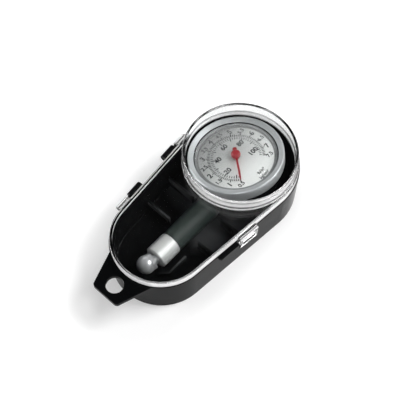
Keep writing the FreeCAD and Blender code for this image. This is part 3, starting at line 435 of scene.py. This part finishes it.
class Slot(Enum):
    """The record's material slots and their finishes, and the dial's ink."""

    BLACK_PLASTIC = Finish("black_plastic", (0.003, 0.0032, 0.0035), 0.18, grain=1400,
                           relief=0.003 * MM, shine=0.2, refraction=1.2, edge_wear=0.16)
    CLEAR_PLASTIC = ClearFinish("clear_plastic", (0.985, 0.99, 0.99), 0.015, grain=60,
                                refraction=1.49)
    # The crystal's upright faces get a painted grey tone that stands in for light carried through the
    # plastic.
    CRYSTAL_PLASTIC = ClearFinish("crystal_plastic", (0.985, 0.99, 0.985), 0.02, grain=90,
                                  refraction=1.49, edge_colour=(0.30, 0.31, 0.315), banded=False)
    DARK_PLASTIC = Finish("dark_plastic", (0.003, 0.0034, 0.0036), 0.2, grain=1200,
                          relief=0.003 * MM, shine=0.4, refraction=1.35)
    GREY_PLASTIC = Finish("grey_plastic", (0.20, 0.205, 0.21), 0.45)
    SATIN_SILVER = RadialFinish("satin_silver", (0.39, 0.405, 0.41), 0.42, 0.62,
                                relief=0.002 * MM, wear=0.04)
    DIAL_METAL = SheenFinish("dial_metal", (0.80, 0.81, 0.805), 0.5, 0.55,
                             relief=0.001 * MM, wear=0.03)
    RED_PAINT = Finish("red_paint", (0.24, 0.018, 0.024), 0.3, grain=1500,
                       relief=0.004 * MM, wear=0.06)
    DARK_METAL = Finish("dark_metal", (0.021, 0.029, 0.026), 0.5, grain=1500,
                        relief=0.003 * MM, shine=0.25)
    SATIN_METAL = TurnedFinish("satin_metal", (0.50, 0.51, 0.50), 0.42, 0.28,
                               relief=0.003 * MM, wear=0.05)
    CHROME = Finish("chrome", (0.70, 0.71, 0.72), 0.22, 0.6, relief=0.0006 * MM, wear=0.03)
    STEEL = TurnedFinish("steel", (0.5, 0.5, 0.51), 0.32, 1.0, relief=0.003 * MM)
    BRASS = RadialFinish("brass", (0.62, 0.44, 0.17), 0.3, 1.0, relief=0.003 * MM)
    RUBBER = Finish("rubber", (0.02, 0.02, 0.021), 0.75, grain=2500)
    PRINT = Finish("dial_metal_print", (0.012, 0.012, 0.014), 0.7, grain=3000,
                   relief=0.002 * MM, shine=0.1)

    @property
    def slot_name(self) -> str:
        """The record's slot that it fills. The ink is printed on the dial's metal."""
        return Slot.DIAL_METAL.value.name if self is Slot.PRINT else self.value.name

    @functools.cache
    def material(self) -> bpy.types.Material:
        """The finish's material, built once."""
        return self.value.build()


# Mesh work


def pick(piece: bpy.types.Object) -> None:
    """Select one object alone and make it active."""
    bpy.ops.object.select_all(action="DESELECT")
    piece.select_set(True)
    bpy.context.view_layer.objects.active = piece


def join(pieces: list[bpy.types.Object], name: str) -> bpy.types.Object:
    """Join objects into one.

    Args:
        pieces: The objects, which become one.
        name: Its name.

    Returns:
        The joined object.
    """
    pick(pieces[0])
    for piece in pieces:
        piece.select_set(True)
    bpy.ops.object.join()
    pieces[0].name = name
    pieces[0].data.name = name
    return pieces[0]


def copy_of(piece: bpy.types.Object, place: Matrix) -> bpy.types.Object:
    """A copy with a mesh of its own, moved by a matrix.

    Args:
        piece: The mesh object to copy.
        place: Where the copy's mesh goes.

    Returns:
        The copy.
    """
    twin = piece.copy()
    twin.data = piece.data.copy()
    twin.data.transform(place)
    bpy.context.collection.objects.link(twin)
    return twin


def smooth(piece: bpy.types.Object, angle: float = SHARP_ANGLE) -> None:
    """Shade smooth below an angle in degrees, with flat faces kept flat."""
    pick(piece)
    bpy.ops.object.shade_smooth_by_angle(angle=math.radians(angle))
    weighted = piece.modifiers.new("weighted", "WEIGHTED_NORMAL")
    weighted.keep_sharp = True
    bpy.ops.object.modifier_apply(modifier=weighted.name)


def round_edges(piece: bpy.types.Object, width: float, segments: int = 2,
                angle: float = SHARP_ANGLE) -> None:
    """Round the sharp edges of a piece.

    Args:
        piece: The mesh object.
        width: The bevel's width in metres.
        segments: Faces across the bevel.
        angle: Edges sharper than this, in degrees, are rounded.
    """
    pick(piece)
    bevel = piece.modifiers.new("round", "BEVEL")
    bevel.width = width
    bevel.segments = segments
    bevel.limit_method = "ANGLE"
    bevel.angle_limit = math.radians(angle)
    bpy.ops.object.modifier_apply(modifier=bevel.name)


@dataclass
class Assembly:
    """A group of pieces that ride on one body."""

    frame: dict
    body: str
    pieces: list[bpy.types.Object] = field(default_factory=list)

    def finish(self, piece: bpy.types.Object, slot: Slot, *replaced: str) -> bpy.types.Object:
        """Give a new piece its body, its finish and the nodes it stands for.

        Args:
            piece: The mesh object, in place.
            slot: Its finish.
            replaced: CAD nodes that it stands for.

        Returns:
            The piece.
        """
        piece.data.materials.clear()
        piece.data.materials.append(slot.material())
        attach(piece, self.body)
        if replaced:
            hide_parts(*replaced)
        self.pieces.append(piece)
        return piece

    def dress(self, slot: Slot, *names: str) -> None:
        """Give CAD nodes that stay a finish."""
        for name in names:
            node = self.frame["nodes"][name]
            node.data.materials.clear()
            node.data.materials.append(slot.material())
            self.pieces.append(node)

    def refined(self, node: str, name: str, slot: Slot, width: float, segments: int = 2,
                angle: float = SHARP_ANGLE) -> bpy.types.Object:
        """A finer piece from a node's shape, with its edges rounded.

        Args:
            node: The CAD node.
            name: The piece's name.
            slot: Its finish.
            width: How wide its edges are rounded, in metres.
            segments: Faces across a rounded edge.
            angle: Edges sharper than this, in degrees, are rounded.

        Returns:
            The piece, which stands for the node.
        """
        piece = copy_of(self.frame["nodes"][node], Matrix.Identity(4))
        for key in list(piece.keys()):
            del piece[key]
        piece.parent = None
        piece.name = name
        piece.data.name = name
        pick(piece)
        bpy.ops.object.mode_set(mode="EDIT")
        bpy.ops.mesh.select_all(action="SELECT")
        bpy.ops.mesh.customdata_custom_splitnormals_clear()
        bpy.ops.mesh.remove_doubles(threshold=WELD)
        bpy.ops.mesh.dissolve_limited(angle_limit=math.radians(FLAT_ANGLE))
        bpy.ops.object.mode_set(mode="OBJECT")
        if width:
            round_edges(piece, width, segments, angle)
        smooth(piece, angle)
        return self.finish(piece, slot, node)


@dataclass
class Case(Assembly):
    """The black tray."""

    edge: float = 0.35 * MM

    def build(self) -> None:
        """Make the tray."""
        self.refined("case_base", "tray", Slot.BLACK_PLASTIC, self.edge, 3)


@dataclass
class Lid(Assembly):
    """The clear lid."""

    edge: float = 0.2 * MM
    parting: float = 22.4 * MM
    roof: float = 27.4 * MM
    latch_share: float = 0.0
    skirt_share: float = 1.0
    window_share: float = 1.0
    foot: float = 25.5 * MM
    foot_line: float = -8 * MM
    foot_reach: float = 33 * MM
    foot_share: float = 0.1
    bright_side: float = math.radians(-49.35)
    fall_off: float = 1.5

    def edge_share(self, middle: Vector) -> float:
        """How much painted light an upright face gets, standing in for light carried through the
        plastic.

        Args:
            middle: The middle of the face.

        Returns:
            From 0 to 1.
        """
        if middle.z > self.roof:
            turn = math.atan2(middle.y, middle.x) - self.bright_side
            return self.window_share * max(0.0, math.cos(turn)) ** self.fall_off
        if middle.z > self.foot and middle.y < self.foot_line and middle.xy.length < self.foot_reach:
            return self.foot_share
        return self.skirt_share if middle.z > self.parting else self.latch_share

    def build(self) -> None:
        """Make the lid. Its upright faces are painted pale, a painted glow that stands in for light
        carried through the plastic.
        """
        lid = self.refined("case_lid", "clear_lid", Slot.CLEAR_PLASTIC, self.edge, 3)
        # Painted light: each upright face gets a share of the painted pale glow.
        shares = lid.data.attributes.new(PAINTED_LIGHT_SHARE, "FLOAT", "FACE")
        for face in lid.data.polygons:
            shares.data[face.index].value = self.edge_share(face.center) * (1 - abs(face.normal.z))


@dataclass
class Dial(Assembly):
    """The dial's printing, in the gauge's frame."""

    face: float = 16.2 * MM
    ink: float = 0.02 * MM
    start: float = -40.0
    sweep: float = 276.0
    first_reading: float = 0.5
    last_reading: float = 7.5
    pounds: float = 14.223
    arc_radius: float = 13.5 * MM
    arc_gap: float = 0.2 * MM
    arc_width: float = 0.3 * MM
    arc_stub: float = 0.01 * MM
    arc_steps: int = 110
    outer_long: float = 2.3 * MM
    outer_short: float = 1.6 * MM
    outer_width: float = 0.42 * MM
    inner_long: float = 2.4 * MM
    inner_short: float = 1.5 * MM
    inner_width: float = 0.4 * MM
    long_width: float = 0.54 * MM
    outer_label_radius: float = 17.3 * MM
    inner_label_radius: float = 9.4 * MM
    whole_label: float = 4.1 * MM
    half_label: float = 3.1 * MM
    pounds_label: float = 3.9 * MM
    unit_label: float = 2.4 * MM
    boldness: float = 0.028

    def angle(self, reading: float) -> float:
        """The angle of a reading on the outer scale.

        Args:
            reading: From 0.5 to 7.5.

        Returns:
            Radians from the gauge's X axis, turning left.
        """
        span = self.last_reading - self.first_reading
        return math.radians(self.start - self.sweep * (reading - self.first_reading) / span)

    def spot(self, reading: float, radius: float) -> Vector:
        """A point of the face at a reading and a radius."""
        turn = self.angle(reading)
        return Vector((radius * math.cos(turn), radius * math.sin(turn), self.face))

    def ticks(self) -> list[bpy.types.Object]:
        """The strokes of both scales.

        Returns:
            One flat bar per stroke.
        """
        bpy.ops.mesh.primitive_cube_add(size=1, location=(0.5, 0, 0.5))
        bar = bpy.context.object
        bpy.ops.object.transform_apply(location=True)
        made = []

        def stroke(reading: float, low: float, high: float, wide: float) -> None:
            """Lay one bar from a low to a high radius."""
            place = (GAUGE_PLACE @ Matrix.Translation((0, 0, self.face))
                     @ Matrix.Rotation(self.angle(reading), 4, "Z")
                     @ Matrix.Translation((low, 0, 0))
                     @ Matrix.Diagonal((high - low, wide, self.ink, 1)))
            made.append(copy_of(bar, place))

        for tenths in range(5, 76):
            major = tenths % 5 == 0
            reach = self.outer_long if major else self.outer_short
            stroke(tenths / 10, self.arc_radius + self.arc_gap, self.arc_radius + reach,
                   self.long_width if major else self.outer_width)
        for pounds in range(8, 107, 2):
            major = pounds % 10 == 0
            reach = self.inner_long if major else self.inner_short
            stroke(pounds / self.pounds, self.arc_radius - reach, self.arc_radius - self.arc_gap,
                   self.long_width if major else self.inner_width)
        bpy.data.objects.remove(bar)
        return made

    def arcs(self) -> list[bpy.types.Object]:
        """The two fine arcs between the scales.

        Returns:
            Two arcs of flat bars.
        """
        made = []
        for radius in (self.arc_radius - self.arc_gap, self.arc_radius + self.arc_gap):
            bpy.ops.mesh.primitive_cube_add(size=1)
            arc = bpy.context.object
            arc.data.transform(Matrix.Diagonal((self.arc_width, self.arc_stub, self.ink, 1)))
            arc.data.transform(Matrix.Translation((radius, 0, self.face + self.ink / 2)))
            arc.data.transform(Matrix.Rotation(self.angle(self.first_reading), 4, "Z"))
            bpy.ops.object.mode_set(mode="EDIT")
            bpy.ops.mesh.select_all(action="SELECT")
            bpy.ops.mesh.spin(steps=self.arc_steps, angle=-math.radians(self.sweep),
                              center=(0, 0, self.face), axis=(0, 0, 1), dupli=False)
            bpy.ops.object.mode_set(mode="OBJECT")
            arc.data.transform(GAUGE_PLACE)
            made.append(arc)
        return made

    def word(self, text: str, height: float, middle: Vector, turn: float = 0.0) -> bpy.types.Object:
        """One word of the dial.

        Args:
            text: What it says.
            height: Its letter size in metres.
            middle: Its middle in the gauge's frame.
            turn: Degrees it is turned to the left.

        Returns:
            Its mesh.
        """
        bpy.ops.object.text_add()
        word = bpy.context.object
        word.data.body = text
        word.data.size = height
        word.data.align_x = "CENTER"
        word.data.align_y = "CENTER"
        word.data.extrude = self.ink / 2
        word.data.resolution_u = 3
        word.data.offset = height * self.boldness
        pick(word)
        bpy.ops.object.convert(target="MESH")
        word = bpy.context.object
        word.data.transform(GAUGE_PLACE @ Matrix.Translation(middle)
                            @ Matrix.Rotation(math.radians(90 + turn), 4, "Z"))
        return word

    def words(self) -> list[bpy.types.Object]:
        """The numbers of both scales and their unit words.

        Returns:
            Their meshes.
        """
        made = []
        for step in range(15):
            reading = 0.5 + step / 2
            size = self.whole_label if reading.is_integer() else self.half_label
            made.append(self.word(f"{reading:g}", size, self.spot(reading, self.outer_label_radius)))
        for pounds in (20, 40, 60, 80, 100):
            made.append(self.word(str(pounds), self.pounds_label,
                                  self.spot(pounds / self.pounds, self.inner_label_radius)))
        for text, across, along in (("lb/in²", 15.6 * MM, 1.3 * MM), ("kg/cm²", 18.4 * MM, 0.6 * MM)):
            made.append(self.word(text, self.unit_label, Vector((across, along, self.face))))
        return made

    def build(self) -> None:
        """Print the dial."""
        self.dress(Slot.DIAL_METAL, "dial_plate")
        self.dress(Slot.GREY_PLASTIC, "dial_spacer")
        self.finish(join(self.ticks() + self.arcs() + self.words(), "dial_print"), Slot.PRINT)


@dataclass
class Head(Assembly):
    """The gauge's housing, bezel and crystal."""

    shell_edge: float = 0.3 * MM
    bezel_edge: float = 0.25 * MM
    bezel_angle: float = 25.0
    crystal_edge: float = 0.1 * MM
    upright: float = 0.5

    def build(self) -> None:
        """Dress the head. The crystal's upright faces are painted grey, standing in for light carried
        through the plastic.
        """
        self.refined("gauge_shell", "head_shell", Slot.DARK_PLASTIC, self.shell_edge)
        self.refined("bezel_ring", "bezel", Slot.SATIN_SILVER, self.bezel_edge, 3, self.bezel_angle)
        crystal = self.refined("dial_crystal", "crystal", Slot.CRYSTAL_PLASTIC, self.crystal_edge)
        axis = GAUGE_PLACE.to_3x3() @ Vector((0, 0, 1))
        # Painted light: upright faces of the crystal get the painted grey tone.
        shares = crystal.data.attributes.new(PAINTED_LIGHT_SHARE, "FLOAT", "FACE")
        for face in crystal.data.polygons:
            shares.data[face.index].value = float(abs(face.normal.dot(axis)) < self.upright)


@dataclass
class Hand(Assembly):
    """The red needle and the works that turn with it."""

    level: float = 18.5 * MM
    thickness: float = 0.35 * MM
    blade_half: float = 0.54 * MM
    blade_end: float = 12.5 * MM
    point: float = 16.0 * MM
    point_half: float = 0.22 * MM
    tail: float = 3.7 * MM
    knob: float = 1.15 * MM
    hub: float = 2.5 * MM
    hub_low: float = 17.4 * MM
    hub_top: float = 20.5 * MM
    dome: float = 1.3 * MM
    dome_steps: int = 6
    edge: float = 0.06 * MM
    angle: float = -40.0

    def bar(self) -> bpy.types.Object:
        """The blade and the tail, one bar that runs to a point.

        Returns:
            Its mesh object, along the X axis.
        """
        bpy.ops.mesh.primitive_cube_add(size=1)
        bar = bpy.context.object
        length = self.blade_end + self.tail
        middle = (length / 2 - self.tail, 0, self.level + self.thickness / 2)
        bar.data.transform(Matrix.Translation(middle)
                           @ Matrix.Diagonal((length, 2 * self.blade_half, self.thickness, 1)))
        for face in bar.data.polygons:
            face.select = face.normal.x > 0.9
        for edge in bar.data.edges:
            edge.select = False
        for corner in bar.data.vertices:
            corner.select = corner.co.x > 0
        bpy.ops.object.mode_set(mode="EDIT")
        bpy.ops.mesh.extrude_region_move(
            TRANSFORM_OT_translate={"value": (self.point - self.blade_end, 0, 0)})
        bpy.ops.transform.resize(value=(1, self.point_half / self.blade_half, 1))
        bpy.ops.object.mode_set(mode="OBJECT")
        return bar

    def disc(self, radius: float, low: float, high: float, along: float) -> bpy.types.Object:
        """A round piece of the needle.

        Args:
            radius: Its radius in metres.
            low: The height of its bottom.
            high: The height of its top.
            along: Its middle on the X axis.

        Returns:
            Its mesh object.
        """
        bpy.ops.mesh.primitive_cylinder_add(vertices=64, radius=radius, depth=high - low)
        disc = bpy.context.object
        disc.data.transform(Matrix.Translation((along, 0, (low + high) / 2)))
        return disc

    def build(self) -> None:
        """Make the needle with its hub, and dress its arbor."""
        hub = self.disc(self.hub, self.hub_low, self.hub_top, 0)
        round_edges(hub, self.dome, self.dome_steps)
        knob = self.disc(self.knob, self.level, self.level + self.thickness, -self.tail)
        needle = self.bar()
        for piece in (knob, hub):
            pick(needle)
            union = needle.modifiers.new("union", "BOOLEAN")
            union.operation = "UNION"
            union.object = piece
            bpy.ops.object.modifier_apply(modifier=union.name)
            bpy.data.objects.remove(piece)
        needle.data.transform(GAUGE_PLACE @ Matrix.Rotation(math.radians(self.angle), 4, "Z"))
        needle.name = needle.data.name = "red_needle"
        round_edges(needle, self.edge)
        smooth(needle)
        self.finish(needle, Slot.RED_PAINT, "needle")
        self.dress(Slot.STEEL, "needle_arbor")
        self.dress(Slot.BRASS, "pinion")


@dataclass
class Works(Assembly):
    """The movement under the dial, and the spring behind the piston."""

    travel: float = 10.597 * MM

    def spring(self) -> None:
        """Make the spring as a refined copy with a mesh of its own. The real spring shortens as the
        piston comes up the barrel.
        """
        spring = self.refined("range_spring", "coil_spring", Slot.STEEL, 0)
        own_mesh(spring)

    def build(self) -> None:
        """Dress the movement."""
        self.spring()
        pillars = [f"pillar_{number}" for number in range(1, 5)]
        self.dress(Slot.BRASS, "movement_plate", "movement_bridge", "rack_guide", "lower_bush",
                   "upper_bush", "spring_seat", *pillars)
        self.dress(Slot.STEEL, *[f"bridge_screw_{number}" for number in range(1, 5)])


@dataclass
class Stem(Assembly):
    """The barrel, its collar and the ball chuck."""

    barrel_edge: float = 0.1 * MM
    collar_edge: float = 0.06 * MM
    ball_edge: float = 0.12 * MM

    def build(self) -> None:
        """Dress the stem."""
        self.refined("barrel", "barrel_tube", Slot.DARK_METAL, self.barrel_edge)
        self.refined("collar", "collar_sleeve", Slot.SATIN_METAL, self.collar_edge)
        self.refined("chuck_ball", "ball_head", Slot.CHROME, self.ball_edge)
        self.dress(Slot.RUBBER, "collar_gasket", "chuck_washer")
        self.dress(Slot.BRASS, "depressor_pin")


@dataclass
class Slider(Assembly):
    """The piston and the rack."""

    def build(self) -> None:
        """Dress the piston and the rack."""
        self.dress(Slot.BRASS, "piston")
        self.dress(Slot.RUBBER, "piston_seal")
        self.dress(Slot.STEEL, "rack")


# Stage


@dataclass(frozen=True)
class Lamp:
    """A soft rectangular lamp aimed at the middle of the case."""

    name: str
    place: Triple
    size: tuple[float, float]
    power: float
    target: Triple = (0.0, -0.03, 0.015)

    def build(self) -> None:
        """Hang the lamp."""
        light = bpy.data.lights.new(self.name, "AREA")
        light.shape = "RECTANGLE"
        light.size, light.size_y = self.size
        light.energy = self.power
        lamp = bpy.data.objects.new(self.name, light)
        bpy.context.collection.objects.link(lamp)
        lamp.location = self.place
        aim = Vector(self.target) - Vector(self.place)
        lamp.rotation_euler = aim.to_track_quat("-Z", "Y").to_euler()


@dataclass(frozen=True)
class Stage:
    """Floor, lamps, world and camera."""

    eye: Triple = (0.1440, -0.1983, 0.4295)
    azimuth: float = -40.65
    elevation: float = 61.37
    roll: float = -1.50
    lens: float = 82.22
    sensor: float = 36.0
    clip: float = 0.01
    floor_size: float = 6.0
    floor_colour: float = 0.85
    floor_glow: float = 0.42
    glow_start: float = 0.25
    glow_end: float = 1.0
    shade_end: float = -85 * MM
    shade_side: float = 8 * MM
    shade_low: float = 20 * MM
    shade_high: float = 42 * MM
    shade_share: float = 0.35
    sky_top: float = 0.02
    sky_rim: float = 1.0
    rim_end: float = 0.48
    top_start: float = 0.66
    lamps: tuple[Lamp, ...] = (
        Lamp("key", (0.42, 0.46, 0.80), (0.46, 0.46), 7.4),
        Lamp("side", (-0.62, -0.56, 0.22), (0.50, 0.24), 3.2),
        Lamp("front", (0.44, -0.50, 0.42), (0.34, 0.16), 1.1),
    )

    def camera(self) -> None:
        """Set up the camera at the photograph's angle."""
        data = bpy.data.cameras.new("camera")
        data.lens = self.lens
        data.sensor_width = self.sensor
        data.clip_start = self.clip
        camera = bpy.data.objects.new("camera", data)
        bpy.context.collection.objects.link(camera)
        turn, rise, tip = (math.radians(angle) for angle in (self.azimuth, self.elevation, self.roll))
        ahead = Vector((math.cos(rise) * math.sin(turn), math.cos(rise) * math.cos(turn),
                        -math.sin(rise)))
        right = Vector((math.cos(turn), -math.sin(turn), 0))
        down = ahead.cross(right)
        right, down = (right * math.cos(tip) + down * math.sin(tip),
                       down * math.cos(tip) - right * math.sin(tip))
        place = Matrix((right, -down, -ahead)).transposed().to_4x4()
        place.translation = self.eye
        camera.matrix_world = place
        bpy.context.scene.camera = camera

    def seen(self, nodes: Nodes) -> Value:
        """1 for rays that show what they meet, straight on, in a mirror or through glass."""
        sight = [nodes.add("ShaderNodeLightPath", out=name)
                 for name in ("Is Camera Ray", "Is Glossy Ray", "Is Transmission Ray")]
        total = nodes.add("ShaderNodeMath", {"operation": "MAXIMUM"}, {0: sight[0], 1: sight[1]})
        return nodes.add("ShaderNodeMath", {"operation": "MAXIMUM"}, {0: total, 1: sight[2]})

    def near_share(self, nodes: Nodes) -> Value:
        """The share of the floor's glow that is left: a painted shadow, less glow under the case and
        close to it.
        """
        across = nodes.axis(nodes.place(), 0)
        along = nodes.axis(nodes.place(), 1)
        held = nodes.add("ShaderNodeClamp", None, {"Value": along, "Min": self.shade_end, "Max": 0.0})
        offset = nodes.add("ShaderNodeCombineXYZ", None,
                           {0: across - self.shade_side, 1: along - held})
        return nodes.grade(nodes.length(offset), self.shade_low, self.shade_high, self.shade_share,
                           1.0, "SMOOTHSTEP")

    def floor(self) -> None:
        """Lay the pale floor."""
        bpy.ops.mesh.primitive_plane_add(size=self.floor_size)
        floor = bpy.context.object
        floor.name = "floor"
        paint = bpy.data.materials.new("floor")
        nodes = Nodes(paint)
        matt = nodes.add("ShaderNodeBsdfDiffuse", None, {"Color": (self.floor_colour,) * 3})
        far_share = nodes.grade(nodes.length(nodes.place()), self.glow_start, self.glow_end,
                                self.floor_glow, 1.0, "SMOOTHSTEP")
        glow = nodes.add("ShaderNodeEmission", None,
                         {"Color": far_share * self.near_share(nodes), "Strength": self.seen(nodes)})
        nodes.surface(nodes.add("ShaderNodeAddShader", None, {0: matt, 1: glow}))
        floor.data.materials.append(paint)

    def world(self) -> None:
        """Set up the surroundings, pale at the horizon and darker overhead."""
        world = bpy.data.worlds.new("world")
        bpy.context.scene.world = world
        nodes = Nodes(world)
        height = nodes.axis(nodes.place("Generated"), 2)
        sky = nodes.add("ShaderNodeValToRGB", {"stops": [
            (0.0, (self.sky_rim,) * 3), (self.rim_end, (self.sky_rim,) * 3),
            (self.top_start, (self.sky_top,) * 3), (1.0, (self.sky_top,) * 3)]}, {0: height})
        camera_ray = nodes.add("ShaderNodeLightPath", out="Is Camera Ray")
        shown = nodes.mix(camera_ray, sky, WHITE)
        light = nodes.add("ShaderNodeBackground", None, {"Color": shown, "Strength": 1.0})
        nodes.add("ShaderNodeOutputWorld", None, {"Surface": light})

    def build(self) -> None:
        """Build the stage."""
        bpy.context.scene.view_settings.view_transform = "Standard"
        self.camera()
        self.floor()
        self.world()
        for lamp in self.lamps:
            lamp.build()


def main() -> None:
    """Load the frame, build every sub-assembly and the stage, and note the sizes."""
    logging.basicConfig(level=logging.INFO, format="%(name)s: %(message)s")
    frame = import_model()
    bpy.ops.object.select_all(action="DESELECT")
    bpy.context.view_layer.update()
    Stage().build()
    for group in (Case(frame, "case"), Lid(frame, "lid"), Head(frame, "gauge"),
                  Dial(frame, "gauge"), Hand(frame, "needle"), Works(frame, "gauge"),
                  Slider(frame, "piston"), Stem(frame, "gauge")):
        group.build()
        for piece in group.pieces:
            LOG.info("%s: %d faces on %s", piece.name, len(piece.data.polygons), group.body)


if __name__ == "__main__":
    main()
